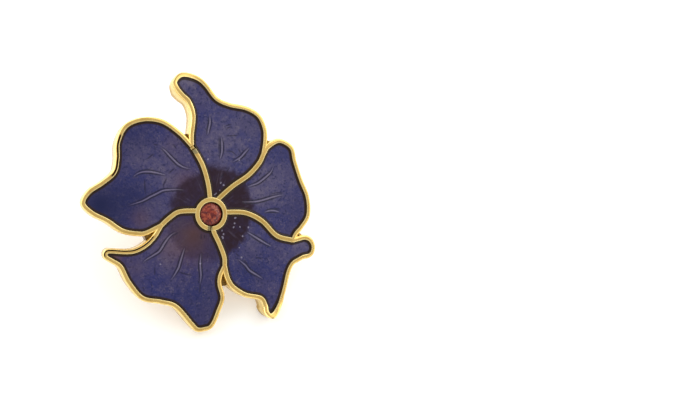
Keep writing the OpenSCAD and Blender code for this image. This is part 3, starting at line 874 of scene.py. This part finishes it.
# Round seat on the back that carries the post: radius, lowest and highest z, and the bevel's two sides.
seatSettings = {"radius": 1.9, "low": -0.25, "top": 0.4, "bevel": (0.08, 0.07), "steps": 64}
radius, low, top = seatSettings["radius"], seatSettings["low"], seatSettings["top"]
bevelIn, bevelUp = seatSettings["bevel"]
seatRadii, seatHeights = [0, radius - bevelIn, radius, radius, 0], [low, low, low + bevelUp, top, top]
addMetal("post_seat", turnedOnPost(seatRadii, seatHeights, seatSettings["steps"]))
print("ring, knots and seat made")

# Back of each petal: a plate from the middle lines of its partitions to just inside its rim's outer edge.
backSettings = {"rows": 90, "columns": 50, "inset": 0.12, "depth": 1.25, "thinnest": 0.08}
for petalName, petal in petals.items():
    before, after = petal["between"]
    rim = toLeft(evenly(smoothPath(petal["rim"]), sampling["wire"]), half - backSettings["inset"])
    outline = np.vstack([[(0.0, 0.0)], smoothPath(partitions[before]), rim, smoothPath(partitions[after])[::-1],
                         [(0.0, 0.0)]])
    grid = petalGrid(outline, petal["corners"], backSettings["rows"], backSettings["columns"])
    x, y = grid[..., 0], grid[..., 1]
    back = backHeight(x, y)
    top = np.maximum(frontHeight(x, y, backSettings["depth"]), back + backSettings["thinnest"])
    addMetal("back_" + petalName, shell(x, y, top, back))

# Recessed webs between petals. Columns: the three corners' x, y, depth
webs = [
    ((-2.28, 8.04), (-3.35, 9.39), (-2.3, 9.59), 0.8),
    ((6.75, 7.14), (7.05, 8.99), (8.1, 8.54), 0.36),
    ((10.5, -3.13), (11.3, -2.01), (12.2, -2.76), 0.36),
    ((1.75, -6.11), (2.7, -8.41), (1.2, -8.66), 0.8),
    ((-6.1, -1.33), (-7.65, -3.31), (-8.05, -2.31), 0.8),
]
webSettings = {"rows": 10, "columns": 8, "rise": 0.01}  # rise of their backs over the flower's
for letter, (*corners, depth) in zip("abcde", webs):
    tip, left, right = np.array(corners, float)
    u = np.linspace(0, 1, webSettings["rows"])[:, None, None]
    v = np.linspace(0, 1, webSettings["columns"])[None, :, None]
    grid = tip * (1 - u) + (left * (1 - v) + right * v) * u
    x, y = grid[..., 0], grid[..., 1]
    back = backHeight(x, y) + webSettings["rise"]
    addMetal("web_" + letter, shell(x, y, frontHeight(x, y, depth), back), recessed=True)
print("back and webs made")

# Tints over each petal's enamel. Columns of the mauve clouds (on the top petal's turned-up tab a painted highlight),
# dark and warm patches: x, y, radius, strength. Columns of the specks: x, y. The plum disc has a radius and a
# strength.
tints = {
    "top": {
        # the cloud at (-2.9, 15.2) is a painted highlight where the turned-up tab catches the light
        "cloudAndSheen": [(2.5, 8.3, 3.2, 0.7), (-2.9, 15.2, 1.6, 0.9)],
        "dark": [(5.5, 11, 2, 0.2)],
        "disc": (5.9, 1.0),
        "specks": [(-0.28, 6.45), (3.65, 6.4), (0.5, 2.28), (0.7, 2.42), (1.15, 2.75), (1.6, 3.4), (1.25, 3.65)],
    },
    "right": {
        "cloudAndSheen": [(7.4, 3.2, 2.8, 0.8)],
        "dark": [(10.8, 0.5, 2.5, 0.2), (9, 7, 2, 0.15)],
        "disc": (5.6, 1.0),
    },
    "lower_right": {
        "cloudAndSheen": [(11.6, -4.0, 2.0, 0.7), (5.4, -3.2, 1.6, 0.4)],
        "dark": [(5, -6.4, 2.2, 0.25)],
        "disc": (5.2, 1.0),
        "specks": [(3.0, -0.45), (3.1, -0.4), (2.98, -1.08), (2.83, -1.52), (3.62, -1.5), (4.7, -1.55), (1.38, -1.92),
                   (1.6, -2.35), (1.46, -2.65), (1.52, -2.8), (4.0, -2.6), (3.6, -3.95), (3.9, -5.1)],
    },
    "lower_left": {
        "cloudAndSheen": [(-5.4, -4.2, 2.4, 0.4), (-3.4, -2.4, 1.8, 0.4), (-9.3, -6.3, 1.8, 0.25)],
        "dark": [(-1, -10.5, 3.5, 0.3), (-9.4, -6.2, 1.8, 0.1)],
        "warm": [(-2.6, -3.2, 2.6, 0.6), (-1.9, -2.1, 1.3, 0.4), (-9.4, -6.2, 1.8, 0.16), (-5.4, -4.2, 1.5, 0.15),
                 (-12.1, -5.0, 1.1, 1.0)],
        "disc": (5.6, 0.46),
        "specks": [(-6.1, -5.85), (-1.25, -5.8)],
    },
    "left": {
        "cloudAndSheen": [(-8.2, 6.4, 2.0, 0.4), (-5.8, 4.2, 2.2, 0.6), (-4.4, 8.2, 1.8, 0.3), (-7, -0.2, 2.0, 0.2)],
        "dark": [(-12.5, 0.8, 3.4, 0.8), (-9, 9.5, 3, 0.4), (-8.8, 2.4, 1.8, 0.35), (-13.6, 1.2, 1.2, 0.3)],
        "warm": [(-3, 3.6, 1.6, 0.42), (-8.5, -0.6, 1.3, 0.3), (-4.5, 8.3, 1.3, 0.12)],
        "disc": (5.2, 0.88),
    },
}


# Distance of each grid point to a mark in the enamel, and how full the mark is there: sin(pi share)^power.
def fromMark(grid, points, power):
    gap, share = distanceTo(grid, evenly(smoothPath(points), sampling["mark"]))
    return gap, np.maximum(np.sin(np.pi * share), 0) ** power


# Ridges and grooves of a petal's marks, 0 to 1. A vein is a ridge exp(-(d / width)^2) that thins out to both ends,
# between two grooves exp(-((d / width - middle) / spread)^2). A crease is a groove alone.
def markRelief(grid, petal):
    ridge = groove = np.zeros(grid.shape[:2])
    veinThinning, creaseThinning = enamelSettings["thinning"]
    middle, spread = enamelSettings["beside"]
    for vein in petal["veins"]:
        gap, taper = fromMark(grid, vein, veinThinning)
        width = enamelSettings["veinWidth"] / 2 * (0.45 + 0.55 * taper)
        full = 0.3 + 0.7 * taper
        ridge = np.maximum(ridge, np.exp(-(gap / width) ** 2) * full)
        groove = np.maximum(groove, np.exp(-((gap / width - middle) / spread) ** 2) * full)
    for crease in petal["creases"]:
        gap, taper = fromMark(grid, crease, creaseThinning)
        groove = np.maximum(groove, 0.85 * np.exp(-(gap / enamelSettings["creaseWidth"]) ** 2) * taper)
    return ridge, groove


# Enamel of each petal: its grid at its depth, rising a little to the wires, with its marks, over a flat bottom.
ringRadius = ringSettings["outer"] + enamelSettings["gap"]
for petalName, petal in petals.items():
    outline = cellOutline(petal, half + enamelSettings["gap"], ringRadius)
    grid = petalGrid(outline, petal["corners"], enamelSettings["rows"], enamelSettings["columns"], ringRadius)
    x, y = grid[..., 0], grid[..., 1]
    fromCentre = np.hypot(x, y)
    edge = np.minimum(distanceTo(grid, evenly(outline, sampling["outline"]))[0], fromCentre - ringRadius)
    ridge, groove = markRelief(grid, petal)
    lift = enamelSettings["meniscus"] * np.exp(-(edge / enamelSettings["meniscusWidth"]) ** 2) \
        + enamelSettings["veinHeight"] * ridge - enamelSettings["grooveDepth"] * groove
    points, faces = slab(x, y, frontHeight(x, y, enamelSettings["depth"]) + lift,
                         frontHeight(x, y, enamelSettings["bottom"]))
    tint = tints[petalName]
    discRadius, discStrength = tint["disc"]
    fromSpecks = [np.hypot(x - speckX, y - speckY) for speckX, speckY in tint.get("specks", [])]
    values = {
        "edge": edge,
        "ridge": ridge,
        "groove": groove,
        "turn": np.unwrap(np.unwrap(np.arctan2(y, x), axis=0), axis=1),
        "disc": fromCentre - discRadius,
        "depthOfDisc": np.full_like(x, discStrength),
        "speckGap": np.min([np.full_like(x, 9.0)] + fromSpecks, 0),
        **{kind: spotField(x, y, tint.get(kind, [])) for kind in ("cloudAndSheen", "dark", "warm")},
    }
    border = gridBorder(*x.shape)
    values = {label: np.concatenate([value.ravel(), value.ravel()[border]]) for label, value in values.items()}
    makePiece("enamel_petal_" + petalName, points, faces, enamelGlass, "enamel_" + petalName, values,
              enamelSettings["smoothTo"])
print("enamels made")

# Ear post, from its ball end over the clutch's groove and a fillet of solder to its pad. The groove's depth goes
# with sin(pi share)^0.7. Columns of the pad's edge: distance in from its radius, and from its low or top side.
postSettings = {
    "radius": 0.4,
    "length": 10.0,
    "grooveDepth": 0.08,
    "grooveWidth": 0.7,
    "grooveEnd": 2.0,  # from the tip
    "fillet": 0.3,
    "padRadius": 1.5,
    "padThickness": 0.4,
    "padGap": 0.03,  # to the seat
    "padEdge": [(0.08, 0.0), (0.02, 0.02), (0.0, 0.08)],
    "steps": 72,
}
padTop = seatSettings["low"] - postSettings["padGap"]
padLow = padTop - postSettings["padThickness"]
shaft, fillet, tip = postSettings["radius"], postSettings["fillet"], padLow - postSettings["length"]
ball, bow = np.radians(np.linspace(-90, 0, 10)), np.radians(np.linspace(180, 270, 7))
share = np.linspace(0, 1, 14)
edgeIn, edgeUp = np.array(postSettings["padEdge"]).T
padEdge = postSettings["padRadius"] - edgeIn
postRadii = np.concatenate([
    shaft * np.cos(ball),
    shaft - postSettings["grooveDepth"] * np.sin(np.pi * share) ** 0.7,
    shaft + fillet + fillet * np.cos(bow),
    padEdge, padEdge[::-1], [0]])
postHeights = np.concatenate([
    tip + shaft + shaft * np.sin(ball),
    tip + postSettings["grooveEnd"] + postSettings["grooveWidth"] * share,
    padLow - 2 * fillet - fillet * np.sin(bow),
    padLow + edgeUp, padTop - edgeUp[::-1], [padTop]])
points, faces = turnedOnPost(postRadii, postHeights, postSettings["steps"])
makePiece("earring_post", points, faces, plainGold, "ear_post", {})

stoneNode = frame["nodes"]["centre_stone"]
stoneNode.data.materials.clear()
stoneNode.data.materials.append(redStone)
print("post and stone made")

# Camera at the photograph's angle: turned to the flower's left, aimed beside the ring.
view = {"lens": 180.0, "sensor": 36.0, "distance": 396.8, "turnDegrees": 21.2, "ringRight": -15.01, "ringUp": -1.36}
turn = np.radians(view["turnDegrees"])
toCamera, rightward = np.array([-np.sin(turn), 0, np.cos(turn)]), np.array([np.cos(turn), 0, np.sin(turn)])
eye = np.array([0, 0, flower["thickness"]]) + toCamera * view["distance"] - rightward * view["ringRight"] \
    - np.array([0, view["ringUp"], 0])
cameraPlace = np.eye(4)
cameraPlace[:3, :3] = np.stack([rightward @ flowerAxes, flowerAxes[1], toCamera @ flowerAxes], 1)
cameraPlace[:3, 3] = toScene(eye)
cameraData = bpy.data.cameras.new("photoCamera")
cameraData.lens, cameraData.sensor_width = view["lens"], view["sensor"]
cameraData.clip_start, cameraData.clip_end = 0.01, 10.0
camera = addObject("photoCamera", cameraData)
camera.matrix_world = Matrix(cameraPlace.tolist())
bpy.context.scene.camera = camera

# White floor that glows a little, a pale tent that is brighter round the flower than over it, and two soft lights.
# The sizes are in metres. Columns of the soft lights: x, y, z, power in watts
studio = {
    "floorSize": 3.0,
    "floorGap": 0.00001,  # under the part
    "floor": (0.95, 0.95, 0.95),
    "glow": 0.15,
    "over": 0.74,  # the tent's light over the flower
    "round": 2.4,  # the tent's light round it
    "lean": (-0.2, 0.15, 1.0),  # axis of the tent's dimmer side, on the flower's axes
    "dimmed": (0.15, 0.55),  # cosines to that axis where the light begins to fall and is lowest
    "softboxSize": 0.5,
    "softboxes": [(-0.5, 0.1, 0.5, 1.2), (0.5, 0.2, 0.5, 1.2)],
}
size, floorZ = studio["floorSize"] / 2, cadBox[0].z - studio["floorGap"]
floorMesh = bpy.data.meshes.new("studioFloor")
floorMesh.from_pydata([(-size, -size, floorZ), (size, -size, floorZ), (size, size, floorZ), (-size, size, floorZ)], [],
                      [(0, 1, 2, 3)])
paper = Finish("whitePaper")
floorMesh.materials.append(paper.surface(Base_Color=studio["floor"], Roughness=0.9,
                                         Emission_Color=studio["floor"], Emission_Strength=studio["glow"]))
floor = addObject("studioFloor", floorMesh)

# The tent's light falls along an S-curve of the cosine between a direction and the axis of its dimmer side.
room = Finish("roomLight", bpy.data.worlds.new("roomLight"))
direction = room.add("ShaderNodeTexCoord", {}, {}, output=0)
dimAxis = studio["lean"] @ flowerAxes / np.linalg.norm(studio["lean"])
cosine = room.vectorMath("DOT_PRODUCT", {0: direction, 1: tuple(dimAxis)}, output=1)
strength = studio["round"] + (studio["over"] - studio["round"]) * room.step(cosine, *studio["dimmed"])
light = room.add("ShaderNodeBackground", {}, {"Color": (1.0, 1.0, 1.0), "Strength": strength})
room.add("ShaderNodeOutputWorld", {}, {"Surface": light})
bpy.context.scene.world = room.owner
for number, (x, y, z, power) in enumerate(studio["softboxes"]):
    lampData = bpy.data.lights.new("softbox" + str(number), "AREA")
    lampData.size, lampData.energy = studio["softboxSize"], power
    lamp = addObject("softbox" + str(number), lampData)
    lamp.location = (x, y, z)
    lamp.rotation_euler = (-lamp.location).to_track_quat("-Z", "Y").to_euler()
bpy.context.scene.view_settings.view_transform = "Standard"
print("camera, floor and lights made")
